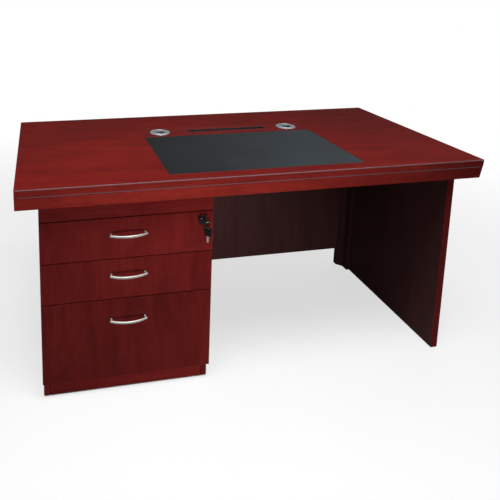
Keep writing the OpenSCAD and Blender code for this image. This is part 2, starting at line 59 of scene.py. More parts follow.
class Tree:
    """A node tree. Each method but add and put adds nodes and returns what they put out."""

    def __init__(self, tree):
        self.tree = tree

    def add(self, kind, values=None, **settings):
        node = self.tree.nodes.new(kind)
        for key, value in settings.items():
            setattr(node, key, value)
        for key, value in (values or {}).items():
            self.put(node.inputs[key], value)
        return node

    def put(self, socket, value):
        if isinstance(value, bpy.types.NodeSocket):
            self.tree.links.new(value, socket)
        else:
            socket.default_value = value

    def vector(self, operation, a, b=(0, 0, 0)):
        """A vector for ADD and MULTIPLY, and a number for the other operations."""
        outputs = self.add("ShaderNodeVectorMath", {0: a, 1: b}, operation=operation).outputs
        return outputs["Vector" if operation in ("ADD", "MULTIPLY") else "Value"]

    def position(self, scale=(1, 1, 1), shift=None):
        """The row-frame position in metres, plus shift, then times scale."""
        place = self.add("ShaderNodeTexCoord").outputs["Object"]
        if shift is not None:
            place = self.vector("ADD", place, shift)
        return self.vector("MULTIPLY", place, scale)

    def owned(self, name, output):
        """A custom property of the object that wears the material."""
        return self.add("ShaderNodeAttribute", attribute_name=name, attribute_type="OBJECT").outputs[output]

    def split(self, vector):
        """The X, Y and Z of a vector."""
        return self.add("ShaderNodeSeparateXYZ", {0: vector}).outputs

    def join(self, x, y, z):
        """A vector or colour made of three numbers."""
        return self.add("ShaderNodeCombineXYZ", {0: x, 1: y, 2: z}).outputs[0]

    def noise(self, vector, scale=1.0, detail=3.0, roughness=0.5, distortion=0.0):
        values = {"Vector": vector, "Scale": scale, "Detail": detail, "Roughness": roughness,
                  "Distortion": distortion}
        return self.add("ShaderNodeTexNoise", values).outputs["Fac"]

    def cells(self, vector, scale, feature, **values):
        values.update(Vector=vector, Scale=scale)
        return self.add("ShaderNodeTexVoronoi", values, feature=feature).outputs["Distance"]

    def math(self, operation, a, b=0.0, c=0.0):
        return self.add("ShaderNodeMath", {0: a, 1: b, 2: c}, operation=operation).outputs[0]

    def remap(self, value, low, high, to_low=0.0, to_high=1.0):
        values = {"Value": value, "From Min": low, "From Max": high, "To Min": to_low, "To Max": to_high}
        return self.add("ShaderNodeMapRange", values).outputs[0]

    def ramp(self, value, *stops):
        """Colours along value: each stop is (position, (r, g, b))."""
        node = self.add("ShaderNodeValToRGB", {"Fac": value})
        elements = node.color_ramp.elements
        while len(elements) < len(stops):
            elements.new(0.5)
        for element, (place, colour) in zip(elements, stops):
            element.position = place
            element.color = (*colour, 1)
        return node.outputs["Color"]

    def blend(self, factor, a, b, mode="MIX"):
        """Colour a, going to colour b as factor goes to 1."""
        node = self.add("ShaderNodeMix", data_type="RGBA", blend_type=mode)
        self.put(node.inputs[0], factor)
        for socket, colour in ((node.inputs[6], a), (node.inputs[7], b)):
            self.put(socket, (*colour, 1) if isinstance(colour, tuple) else colour)
        return node.outputs[2]

    def times(self, a, b):
        """The product of two colours."""
        return self.blend(1.0, a, b, "MULTIPLY")

    def bump(self, height, distance, strength=1.0, normal=None):
        values = {"Height": height, "Distance": distance, "Strength": strength}
        if normal is not None:
            values["Normal"] = normal
        return self.add("ShaderNodeBump", values).outputs[0]

    def facing(self, way):
        """1 where the surface looks along way, 0 at right angles to it."""
        return self.vector("DOT_PRODUCT", self.add("ShaderNodeNewGeometry").outputs["Normal"], way)

    def edges(self, radius):
        """Close to 1 along sharp edges and 0 elsewhere."""
        soft = self.add("ShaderNodeBevel", {"Radius": radius}, samples=4).outputs[0]
        return self.remap(self.facing(soft), 1.0, 0.8)


class Shader(Tree):
    """A material's node tree, with its principled surface."""

    def __init__(self, name):
        self.material = bpy.data.materials.new(name)
        self.material.use_nodes = True
        super().__init__(self.material.node_tree)
        self.surface = self.tree.nodes["Principled BSDF"]

    def finish(self, **values):
        """Sets the surface's inputs and returns the material."""
        for key, value in values.items():
            self.put(self.surface.inputs[key.replace("_", " ")], value)
        return self.material


# ---------------------------------------------------------------- colours

def rgb(r, g, b):
    """Linear colour from display values of 0 to 255."""
    def linear(v):
        v /= 255
        return v / 12.92 if v <= 0.04045 else ((v + 0.055) / 1.055) ** 2.4
    return (linear(r), linear(g), linear(b))


def shade(colour, factor, lift=0.0):
    """Linear colour times factor, plus lift, held to 1."""
    return tuple(min(1, c * factor + lift) for c in colour)


MAHOGANY = ((0.34, rgb(92, 19, 16)), (0.48, rgb(111, 23, 18)), (0.58, rgb(123, 28, 21)),
            (0.72, rgb(138, 37, 26)))
# Painted shade: the brown that the knee space's shaded faces turn.
KNEE_SHADE_BROWN = ((0.34, rgb(68, 43, 44)), (0.70, rgb(94, 60, 60)))
PORE_RED, WORN_RED = rgb(52, 10, 10), rgb(150, 52, 42)
STAIN = (1, 1.35, 1.75)
TOP_STAIN = (1, 0.9, 0.95)
# Painted front light: brightness of the top's forward faces at the left and right ends.
TOP_FRONT_LIGHT = (1.5, 0.9)


# ---------------------------------------------------------------- materials

# Metres: the X over which the painted front light on the front edge and the painted sheen on the pad fade,
# and the reach of the painted corner shade from its corner.
FRONT_LIGHT_FADE, PAD_SHEEN_FADE, KNEE_SHADE_REACH = (0.30, 0.75), (-0.30, 0.35), (0.10, 0.85)
KNEE_CORNER = (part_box("end_panel")[0].x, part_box("modesty_panel")[0].y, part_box("end_panel")[1].z)


def along(axis, long_scale, cross_scale):
    """Scale vector with long_scale on the grain's axis and cross_scale on the other two."""
    return tuple(long_scale if letter == axis else cross_scale for letter in "xyz")


def paint_front_light(s, wood, painted_front_light):
    """Wood with painted front light on its forward faces, brighter and pinker, its strength given for the
    left and right ends.
    """
    # Painted front light: forward faces brighter and pinker, fading from left to right.
    light_tone = s.remap(s.split(s.position())[0], *FRONT_LIGHT_FADE, *painted_front_light)
    light_tint = s.math("MULTIPLY", light_tone, 1.5)
    return s.blend(s.remap(s.facing(FORWARDS), 0.4, 0.9), wood, s.times(wood, s.join(light_tone, light_tint, light_tint)))


def paint_knee_shade(s, wood, streak, way):
    """Wood with painted shade: faces that look along way turn brown, and darker towards the knee space's
    upper corner.
    """
    away = s.vector("DISTANCE", s.position(), KNEE_CORNER)
    # Painted shade: darker towards the knee space's upper corner.
    corner_shade = s.ramp(s.remap(away, *KNEE_SHADE_REACH), (0, (0.16, 0.14, 0.14)), (1, (1, 1, 1)))
    shaded_wood = s.times(s.ramp(streak, *KNEE_SHADE_BROWN), corner_shade)
    return s.blend(s.remap(s.facing(way), 0.2, 0.6, 0, 0.97), wood, shaded_wood)


def veneer(name, axis, stain=(1, 1, 1), painted_front_light=None, shaded_ways=()):
    """Red mahogany veneer under satin lacquer, with its grain along axis, painted front light on its forward
    faces and painted shade on faces that look along the given ways. A board's painted light tone and stretch
    of grain come from its own properties."""
    s = Shader(name)
    shift = s.owned("grain_shift", "Vector")
    clouds = s.position(along(axis, 0.7, 1.3), shift)
    figure = s.noise(s.position(along(axis, 2.2, 15), shift), detail=5, roughness=0.62, distortion=1.1)
    fibre = s.noise(s.position(along(axis, 7, 330), shift), detail=5, roughness=0.72)
    pores = s.noise(s.position(along(axis, 80, 1100), shift), detail=2, roughness=0.6)
    pore = s.remap(pores, 0.60, 0.70)
    blotch = s.noise(clouds, scale=4.2, detail=4, roughness=0.55)
    mottle = s.noise(clouds, scale=52, detail=4, roughness=0.65, distortion=0.4)
    streak = s.math("MULTIPLY_ADD", fibre, 0.55, s.math("MULTIPLY", figure, 0.45))
    wood = s.times(s.ramp(streak, *MAHOGANY), stain)
    wood = s.times(wood, s.ramp(blotch, (0.3, (0.84, 0.82, 0.82)), (0.7, (1.10, 1.10, 1.10))))
    wood = s.times(wood, s.ramp(mottle, (0.34, (0.92, 0.90, 0.90)), (0.66, (1.07, 1.09, 1.07))))
    wood = s.blend(s.math("MULTIPLY", pore, 0.40), wood, PORE_RED)
    worn = s.math("MULTIPLY", s.edges(1.6 * MM), s.remap(blotch, 0.35, 0.65, 0.1, 0.35))
    wood = s.blend(worn, wood, WORN_RED)
    # Painted front light on the forward faces.
    if painted_front_light:
        wood = paint_front_light(s, wood, painted_front_light)
    # Painted shade on the faces that look along the given ways.
    for way in shaded_ways:
        wood = paint_knee_shade(s, wood, streak, way)
    # Painted light and shade: the board's own brightness factor.
    light_tone = s.owned("painted_light_tone", "Fac")
    wood = s.times(wood, s.join(light_tone, light_tone, light_tone))
    peel = s.noise(s.position(), scale=85, detail=1)
    rough = s.math("ADD", s.remap(blotch, 0.3, 0.7, 0.30, 0.38), s.math("MULTIPLY", pore, 0.12))
    normal = s.bump(s.math("SUBTRACT", s.math("MULTIPLY", fibre, 0.25), pore), 0.05 * MM, 0.5)
    normal = s.bump(peel, 0.10 * MM, 0.35, normal)
    return s.finish(Base_Color=wood, Roughness=rough, Specular_IOR_Level=0.14, Coat_Weight=0.04,
                    Coat_Roughness=0.14, Normal=normal)


def board_foil(name, axis, dark, light, rough):
    """Plain foil or stained board inside the desk, with a faint printed grain."""
    s = Shader(name)
    shift = s.owned("grain_shift", "Vector")
    grain = s.noise(s.position(along(axis, 3, 90), shift), detail=4, roughness=0.6, distortion=0.3)
    fleck = s.noise(s.position(along(axis, 40, 500), shift), detail=2)
    wood = s.ramp(grain, (0.3, dark), (0.7, light))
    wood = s.blend(s.remap(fleck, 0.58, 0.75, 0, 0.5), wood, dark)
    wood = s.blend(s.math("MULTIPLY", s.edges(1.2 * MM), 0.3), wood, shade(light, 1.5))
    return s.finish(Base_Color=wood, Roughness=s.remap(grain, 0.3, 0.7, rough, rough + 0.1),
                    Specular_IOR_Level=0.35, Normal=s.bump(fleck, 0.06 * MM, 0.5))


def leather(name):
    """Charcoal blue leather with a fine pebble grain and a low sheen, with a painted sheen that makes it
    paler towards its right side.
    """
    s = Shader(name)
    place = s.position()
    wander = s.math("MULTIPLY", s.noise(place, scale=300, detail=2), 0.0012)
    pebble = s.cells(s.vector("ADD", place, wander), 620, "SMOOTH_F1", Smoothness=0.35)
    crease = s.cells(place, 230, "DISTANCE_TO_EDGE")
    cloud = s.noise(place, scale=4, detail=3)
    # Painted sheen: paler and bluer towards the right side.
    across = s.remap(s.split(place)[0], *PAD_SHEEN_FADE)
    colour = s.ramp(cloud, (0.3, rgb(42, 45, 47)), (0.7, rgb(50, 54, 57)))
    colour = s.times(colour, s.ramp(across, (0, (0.30, 0.29, 0.29)), (1, (1.50, 1.62, 1.72))))
    colour = s.blend(s.remap(pebble, 0.2, 0.7, 0, 0.45), colour, rgb(32, 35, 37))
    colour = s.blend(s.math("MULTIPLY", s.edges(1.5 * MM), 0.4), colour, rgb(84, 88, 92))
    height = s.math("ADD", s.math("MULTIPLY", pebble, -1), s.remap(crease, 0, 0.12, -0.5, 0))
    return s.finish(Base_Color=colour, Roughness=s.remap(cloud, 0.3, 0.7, 0.48, 0.56),
                    Specular_IOR_Level=0.16, Sheen_Weight=0.05, Sheen_Roughness=0.4,
                    Normal=s.bump(height, 0.14 * MM, 0.6))


def metal(name, colour, rough, brush=(1, 1, 1), brush_scale=900, depth=0.01, plating=1.0):
    """Plated metal: fine brushing along the smallest scale, smudges in its gloss, brighter rubbed edges."""
    s = Shader(name)
    lines = s.noise(s.position(brush), scale=brush_scale, detail=2)
    smudge = s.noise(s.position(), scale=28, detail=4, roughness=0.6)
    tint = s.blend(s.remap(smudge, 0.35, 0.7), colour, shade(colour, 0.86))
    tint = s.blend(s.math("MULTIPLY", s.edges(0.5 * MM), 0.5), tint, shade(colour, 1.25))
    gloss = s.math("ADD", s.remap(smudge, 0.3, 0.75, rough, rough + 0.10), s.math("MULTIPLY", lines, 0.06))
    return s.finish(Base_Color=tint, Metallic=plating, Roughness=gloss, Normal=s.bump(lines, depth * MM, 0.4))


def plastic(name, colour, rough, grain=1800, depth=0.02):
    """Moulded plastic with a fine spark-eroded texture and handling marks."""
    s = Shader(name)
    speck = s.noise(s.position(), scale=grain, detail=1)
    marks = s.noise(s.position(), scale=45, detail=4, roughness=0.65)
    tint = s.blend(s.remap(marks, 0.4, 0.7, 0, 0.5), colour, shade(colour, 1.6, 0.004))
    tint = s.blend(s.math("MULTIPLY", s.edges(0.4 * MM), 0.35), tint, (0.08, 0.08, 0.085))
    return s.finish(Base_Color=tint, Roughness=s.remap(marks, 0.3, 0.7, rough, rough + 0.12),
                    Specular_IOR_Level=0.45, Normal=s.bump(speck, depth * MM, 0.5))


VENEER = {axis: veneer(f"veneer_{axis}", axis, STAIN) for axis in "xyz"}
# Painted front light on the top's forward faces.
VENEER_TOP = veneer("veneer_top", "x", TOP_STAIN, painted_front_light=TOP_FRONT_LIGHT)
# Shaded copies of the veneer: painted shade inside the knee space.
VENEER_LEG_SHADED = veneer("veneer_leg_shaded", "z", STAIN, shaded_ways=(LEFT,))
VENEER_KNEE_SHADED = veneer("veneer_knee_shaded", "z", shaded_ways=(LEFT, FORWARDS))
INNER = board_foil("inner_board", "x", rgb(52, 16, 15), rgb(70, 24, 21), 0.55)
DRAWER_BOARD = {axis: board_foil(f"drawer_board_{axis}", axis, rgb(92, 40, 28), rgb(126, 62, 44), 0.45)
                for axis in "xy"}
LEATHER = leather("pad_leather")
# Painted light: one strip metal, as a lit copy for the upper strip and a shaded copy for the lower strips.
STRIP_LIT = metal("strip_lit", rgb(150, 128, 136), 0.38, (1, 40, 40), 30, plating=0.4)
STRIP_SHADED = metal("strip_shaded", rgb(112, 102, 112), 0.42, (1, 40, 40), 30, plating=0.4)
OUTLET_METAL = metal("outlet_metal", rgb(192, 199, 205), 0.32, brush_scale=700, depth=0.003, plating=0.5)
CAP_METAL = metal("cap_metal", rgb(158, 166, 168), 0.34, brush_scale=700, depth=0.003, plating=0.5)
KEY_STEEL = metal("key_steel", rgb(160, 157, 152), 0.30, brush_scale=500)
NICKEL = metal("satin_nickel", rgb(214, 211, 204), 0.26, (1, 8, 8), 160, plating=0.6)
ZINC = metal("slide_steel", rgb(172, 176, 182), 0.34, (8, 0.5, 8), 120)
BLACK = plastic("black_plastic", rgb(15, 17, 17), 0.34)
SLOT_BLACK = plastic("slot_black", rgb(10, 7, 7), 0.45)
GLOSS = plastic("gloss_black", rgb(15, 7, 7), 0.28, 60, 0.03)
LACQUER = plastic("black_metal", rgb(16, 17, 18), 0.20, 400, 0.01)

SLOT_MATERIALS = {
    "veneer": VENEER["x"], "inner_board": INNER, "drawer_board": DRAWER_BOARD["x"], "pad": LEATHER,
    "grey_strip": STRIP_SHADED, "outlet_metal": OUTLET_METAL, "satin_nickel": NICKEL, "slide_steel": ZINC,
    "black_plastic": BLACK, "gloss_black": GLOSS, "black_metal": LACQUER,
}
OWN_MATERIALS = {
    "upper_edge_strip": STRIP_LIT,
    "key_ring": KEY_STEEL,
    **{node: VENEER_TOP for node in ("top_board", "top_front_rail", "top_edge_rails")},
    **{node: VENEER["z"] for node in ("pedestal_left_side", "pedestal_right_side", "pedestal_back",
                                      "drawer_1_front", "drawer_2_front", "drawer_3_front")},
    "end_panel": VENEER_LEG_SHADED,
    **{node: VENEER_KNEE_SHADED for node in ("modesty_panel", "corner_post")},
    **{f"drawer_{n}_{part}": DRAWER_BOARD["y"] for n in (1, 2, 3) for part in ("sides", "bottom")},
}
# Painted light and shade: brightness per board, the drawer fronts darker towards the bottom.
PAINTED_LIGHT_TONES = {"drawer_1_front": 0.78, "drawer_2_front": 0.68, "drawer_3_front": 0.55, "end_panel": 0.80,
               "pedestal_plinth": 1.10, "modesty_panel": 1.15, "corner_post": 0.7}


# ---------------------------------------------------------------- CAD nodes

GRAIN_STEPS = (3.7, 1.9, 2.3)
EDGE_RADII = {"veneer": 1.0, "inner_board": 0.6, "drawer_board": 0.8, "grey_strip": 0.25, "slide_steel": 0.3,
              "satin_nickel": 0.25, "black_plastic": 0.4, "black_metal": 1.0, "gloss_black": 0.8,
              "outlet_metal": 0.4, "pad": 0.5}


def soften(part, width):
    """Rounds a CAD node's edges with modifiers, which leave its own mesh as it is."""
    weld = part.modifiers.new("weld", "WELD")
    weld.merge_threshold = 0.01 * MM
    flat = part.modifiers.new("flat", "DECIMATE")
    flat.decimate_type = "DISSOLVE"
    flat.angle_limit = math.radians(0.5)
    bevel = part.modifiers.new("bevel", "BEVEL")
    bevel.width = width
    bevel.segments = 3
    bevel.limit_method = "ANGLE"
    bevel.angle_limit = math.radians(40)
    bevel.harden_normals = True
    bevel.use_clamp_overlap = True


def dress_frame():
    """Gives every CAD node its material, its painted light tone, its own stretch of grain and softened edges.
    """
    for index, row in enumerate(RECORD["subparts"]):
        node, slot = row["node"], row["material_slot"]
        part = NODES[node]
        part.data.materials.clear()
        part.data.materials.append(OWN_MATERIALS.get(node, SLOT_MATERIALS[slot]))
        part["grain_shift"] = tuple(step * index for step in GRAIN_STEPS)
        # Painted light and shade: the board's brightness factor.
        part["painted_light_tone"] = PAINTED_LIGHT_TONES.get(node, 1.0)
        soften(part, EDGE_RADII[slot] * MM)


dress_frame()


# ---------------------------------------------------------------- mesh building

class Build:
    """Collects points and faces, then makes one object of them."""

    def __init__(self):
        self.points = []
        self.faces = []

    def loft(self, loops, ring=False):
        """A skin through loops of equally many points. A ring joins the last loop to the first."""
        count, start = len(loops[0]), len(self.points)
        for loop in loops:
            self.points.extend(Vector(p) for p in loop)
        for i in range(len(loops) if ring else len(loops) - 1):
            a = start + i * count
            b = start + (i + 1) % len(loops) * count
            for k in range(count):
                self.faces.append((a + k, a + (k + 1) % count, b + (k + 1) % count, b + k))
        if not ring:
            self.faces.append(tuple(start + k for k in range(count))[::-1])
            self.faces.append(tuple(start + (len(loops) - 1) * count + k for k in range(count)))
        return self

    def make(self, name, material, slot, nodes=(), body=None):
        """One smooth piece that stands in for nodes on their body, or just rides on body."""
        mesh = bpy.data.meshes.new(name)
        mesh.from_pydata(self.points, [], self.faces)
        work = bmesh.new()
        work.from_mesh(mesh)
        bmesh.ops.recalc_face_normals(work, faces=work.faces)
        for face in work.faces:
            face.smooth = True
        work.to_mesh(mesh)
        work.free()
        mesh.materials.append(material)
        piece = bpy.data.objects.new(name, mesh)
        bpy.context.scene.collection.objects.link(piece)
        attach(piece, body or BODY_OF[nodes[0]])
        if nodes:
            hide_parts(*nodes)


def turns(count, offset=0.0):
    """Cosine and sine of count even steps round a full turn."""
    angles = [math.tau * (k + offset) / count for k in range(count)]
    return [(math.cos(a), math.sin(a)) for a in angles]


def circle(x, y, z, r, count=96):
    """Points of a level circle."""
    return [(x + r * c, y + r * s, z) for c, s in turns(count)]


def stadium(x, y, z, half, r, count=96):
    """Points of a level outline with straight sides of 2 * half along X and round ends of radius r."""
    return [(x + math.copysign(half, c) + r * c, y + r * s, z) for c, s in turns(count, 0.5)]


def arc(r, z, radius, *angles):
    """(r, z) pairs round the middle (r, z), at angles in degrees from outwards towards upwards."""
    return [(r + radius * math.cos(math.radians(a)), z + radius * math.sin(math.radians(a))) for a in angles]


def bend(inner, outer, steps=5):
    """Quarter-round from one (r, z) point to another, as pairs, bulging outwards in r."""
    (r0, z0), (r1, z1) = inner, outer
    quarter = math.pi / 2
    return [(r0 + (r1 - r0) * math.sin(quarter * k / steps), z1 + (z0 - z1) * math.cos(quarter * k / steps))
            for k in range(steps + 1)]


def middle(low, high):
    """X and Y of the middle of a box."""
    return (low.x + high.x) / 2, (low.y + high.y) / 2


# ---------------------------------------------------------------- cable outlets

CAP_HOLE_Y, CAP_HOLE_HALF, CAP_HOLE_R = -9 * MM, 2 * MM, 14 * MM


def outlet_body(name, x, y):
    """Turned flange with a raised lip round the cap, and the barrel below it, as one closed ring."""
    low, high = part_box("outlet_bodies")
    cap_low, cap_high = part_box("outlet_cap_left")
    top, deck = high.z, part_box("cable_panel")[1].z
    flange_r = (high.y - low.y) / 2
    seat_r, seat_z = (cap_high.x - cap_low.x) / 2 + 0.05 * MM, cap_low.z - 0.05 * MM
    bore_r, barrel_r = seat_r - 3 * MM, seat_r + 2 * MM
    lip_r = 0.9 * MM
    profile = [(seat_r, seat_z), (seat_r, top - 1.0 * MM)]
    profile += arc(seat_r + lip_r, top - lip_r, lip_r, 160, 135, 110, 90)
    profile += bend((seat_r + 1.9 * MM, top), (seat_r + 3.0 * MM, top - 1.0 * MM))
    profile += [(seat_r + 3.6 * MM, top - 1.25 * MM), (flange_r - 4 * MM, top - 1.5 * MM)]
    profile += bend((flange_r - 3 * MM, top - 1.7 * MM), (flange_r, deck + 0.6 * MM))
    profile += [(flange_r, deck + 0.05 * MM), (barrel_r, deck + 0.05 * MM), (barrel_r, deck - 0.5 * MM)]
    profile += [(barrel_r, low.z), (bore_r, low.z), (bore_r, seat_z)]
    rings = [circle(x, y, z, r) for r, z in profile]
    Build().loft(rings, ring=True).make(name, OUTLET_METAL, "outlet_metal", ("outlet_bodies",))


def outlet_cap(node):
    """Cap with an off-centre cable hole: softened rims, and a turned groove near its edge."""
    low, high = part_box(node)
    x, y = middle(low, high)
    r = (high.x - low.x) / 2
    soft = 0.5 * MM
    groove = ((2.0, 0.0), (2.4, 0.35), (3.0, 0.35), (3.4, 0.0))
    rim = [(r, low.z), (r, high.z - soft)] + arc(r - soft, high.z - soft, soft, 30, 60, 90)
    rim += [(r - inset * MM, high.z - drop * MM) for inset, drop in groove]
    hole = [(CAP_HOLE_R + soft, high.z)] + arc(CAP_HOLE_R + soft, high.z - soft, soft, 120, 150, 180)
    hole.append((CAP_HOLE_R, low.z))
    loops = [circle(x, y, z, r) for r, z in rim]
    loops += [stadium(x, y + CAP_HOLE_Y, z, CAP_HOLE_HALF, r) for r, z in hole]
    Build().loft(loops, ring=True).make(node + "_turned", CAP_METAL, "outlet_metal", (node,))


def outlet_sleeve(node):
    """Thin black sleeve that lines the cap's cable hole."""
    low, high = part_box(node)
    x, y = middle(low, high)
    outer = CAP_HOLE_R - 0.03 * MM
    inner = outer - 0.9 * MM
    bottom, shoulder, rim = low.z + 0.02 * MM, high.z - 0.6 * MM, high.z - 0.35 * MM
    profile = [(outer, bottom), (outer, shoulder), (outer - 0.2 * MM, rim), (outer - 0.7 * MM, rim),
               (inner, shoulder), (inner, bottom)]
    loops = [stadium(x, y + CAP_HOLE_Y, z, CAP_HOLE_HALF, r) for r, z in profile]
    Build().loft(loops, ring=True).make(node + "_sleeve", SLOT_BLACK, "black_plastic", body=BODY_OF[node])


for side in ("left", "right"):
    outlet_body("outlet_body_" + side, *middle(*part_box("outlet_cap_" + side)))
    outlet_cap("outlet_cap_" + side)
    outlet_sleeve("outlet_cap_" + side)


# ---------------------------------------------------------------- cable slot

def make_slot():
    """Lining of the long slot, with a rounded lip."""
    low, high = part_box("slot_trim")
    x, y = middle(low, high)
    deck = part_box("cable_panel")[1].z
    lip_r = (high.y - low.y) / 2
    half = (high.x - low.x) / 2 - lip_r
    wall_r, inner_r = lip_r - 1.6 * MM, lip_r - 3.0 * MM
    profile = [(inner_r, low.z), (inner_r, high.z - 0.5 * MM), (inner_r + 0.2 * MM, high.z - 0.15 * MM)]
    profile += [(inner_r + 0.6 * MM, high.z), (lip_r - 0.9 * MM, high.z)]
    profile += [(lip_r - 0.3 * MM, high.z - 0.2 * MM), (lip_r, deck + 0.15 * MM)]
    profile += [(lip_r - 0.1 * MM, deck + 0.02 * MM), (wall_r, deck + 0.02 * MM), (wall_r, low.z)]
    loops = [stadium(x, y, z, half, r) for r, z in profile]
    Build().loft(loops, ring=True).make("slot_lining", SLOT_BLACK, "black_plastic", ("slot_trim",))


make_slot()


# ---------------------------------------------------------------- writing pad

PAD_COLUMNS, PAD_ROWS, PAD_RIM_STEPS = 172, 100, 3
PAD_EDGE, PAD_ROUND, PAD_SAG = 2.0 * MM, 0.9 * MM, 0.15 * MM


def pad_places(start, end, count):
    """Grid lines from start to end, closer together over the rounded edges."""
    gaps = count - 2 * PAD_RIM_STEPS
    rim = [PAD_EDGE * (1 - math.cos(math.radians(90 * k / PAD_RIM_STEPS))) for k in range(PAD_RIM_STEPS)]
    inner = [start + PAD_EDGE + (end - start - 2 * PAD_EDGE) * k / gaps for k in range(gaps + 1)]
    return [start + d for d in rim] + inner + [end - d for d in reversed(rim)]


def pad_height(x, y, low, high):
    """Height of the leather: rounded off at its edges, and faintly uneven as hide is."""
    inside = min(x - low.x, high.x - x, y - low.y, high.y - y, PAD_EDGE) / PAD_EDGE
    round_off = PAD_ROUND * (1 - math.sqrt(max(0.0, 1 - (1 - inside) ** 2)))
    broad, fine = noise.noise(Vector((x * 9, y * 9, 0.3))), noise.noise(Vector((x * 31, y * 31, 1.7)))
    return high.z - PAD_SAG * 0.5 - round_off + (broad * 0.6 + fine * 0.4) * PAD_SAG * 0.5


def make_pad():
    """Leather sheet laid flush in its recess, as one closed piece."""
    low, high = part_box("writing_pad")
    xs, ys = pad_places(low.x, high.x, PAD_COLUMNS), pad_places(low.y, high.y, PAD_ROWS)
    width, depth = len(xs), len(ys)
    under = width * depth
    build = Build()
    build.points = [Vector((x, y, pad_height(x, y, low, high))) for y in ys for x in xs]
    build.points += [Vector((x, y, low.z)) for y in ys for x in xs]
    for j in range(depth - 1):
        for i in range(width - 1):
            a = j * width + i
            quad = (a, a + 1, a + width + 1, a + width)
            build.faces += [quad, tuple(under + k for k in reversed(quad))]
    border = list(range(width))
    border += [j * width + width - 1 for j in range(1, depth)]
    border += [(depth - 1) * width + i for i in range(width - 2, -1, -1)]
    border += [j * width for j in range(depth - 2, 0, -1)]
    for a, b in zip(border, border[1:] + border[:1]):
        build.faces.append((b, a, under + a, under + b))
    build.make("leather_pad", LEATHER, "pad", ("writing_pad",))


make_pad()


# ---------------------------------------------------------------- handles

BAR_THICK, BAR_BOW, FOOT_PITCH = 5 * MM, 16 * MM, 112 * MM
BAR_STATIONS, BAR_SIDES, FOOT_SIDES = 56, 28, 32
END_SHARE, END_LEAST, END_HEIGHT, OVAL_POWER = 0.055, 0.06, 0.88, 0.72


def bar_section(centre, across, half_t, half_h):
    """Outline of the bar: a flat oval, half_t along across and half_h along Z."""
    loop = []
    for c, s in turns(BAR_SIDES):
        wide, tall = math.copysign(abs(c) ** OVAL_POWER, c), math.copysign(abs(s) ** OVAL_POWER, s)
        loop.append(centre + across * half_t * wide + Vector((0, 0, half_h * tall)))
    return loop


def foot_sections(x, z, back, face):
    """Outlines of a turned foot, from inside the bar to its flange on the drawer's face."""
    profile = [(2.7, back - 0.2 * MM), (2.7, back + 1.2 * MM), (2.5, back + 2 * MM)]
    profile += [(2.5, face - 2.6 * MM), (2.7, face - 1.8 * MM), (3.1, face - 1.1 * MM)]
    profile += [(3.4, face - 0.6 * MM), (3.4, face - 0.06 * MM)]
    return [[(x + r * MM * c, y, z + r * MM * s) for c, s in turns(FOOT_SIDES)] for r, y in profile]


def make_handle(number):
    """Bowed pull: a flat oval bar that thins to rounded ends, on two turned feet."""
    node = f"drawer_{number}_handle"
    low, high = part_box(node)
    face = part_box(f"drawer_{number}_front")[0].y
    middle_x, z = (low.x + high.x) / 2, (low.z + high.z) / 2
    half_l, half_h = (high.x - low.x) / 2, (high.z - low.z) / 2
    radius = (half_l ** 2 + BAR_BOW ** 2) / (2 * BAR_BOW)
    outer_y = low.y + BAR_THICK / 2

    def bar_y(x):
        return outer_y + radius - math.sqrt(radius ** 2 - x ** 2)

    loops = []
    for k in range(BAR_STATIONS + 1):
        u = math.cos(math.pi * (1 - k / BAR_STATIONS))
        x = u * (half_l - 0.2 * MM)
        across = Vector((-x / math.sqrt(radius ** 2 - x ** 2), 1, 0)).normalized()
        end = min(1.0, (1 - abs(u)) / END_SHARE)
        grow = max(END_LEAST, math.sqrt(1 - (1 - end) ** 2))
        half_height = half_h * grow * (END_HEIGHT + (1 - END_HEIGHT) * (1 - u * u))
        centre = Vector((middle_x + x, bar_y(x), z))
        loops.append(bar_section(centre, across, BAR_THICK / 2 * grow, half_height))
    build = Build().loft(loops)
    for foot_x in (-FOOT_PITCH / 2, FOOT_PITCH / 2):
        build.loft(foot_sections(middle_x + foot_x, z, bar_y(foot_x) + 0.3 * MM, face))
    build.make(f"handle_{number}", NICKEL, "satin_nickel", (node,))


for drawer in (1, 2, 3):
    make_handle(drawer)


# ---------------------------------------------------------------- stage, light and camera

FLOOR_HALF = 30
# Painted light: the floor's glow for the camera, by distance from the middle.
FLOOR_GLOW_REACH, FLOOR_GLOW_SHARE = (0.7, 2.8), (0.66, 1.0)


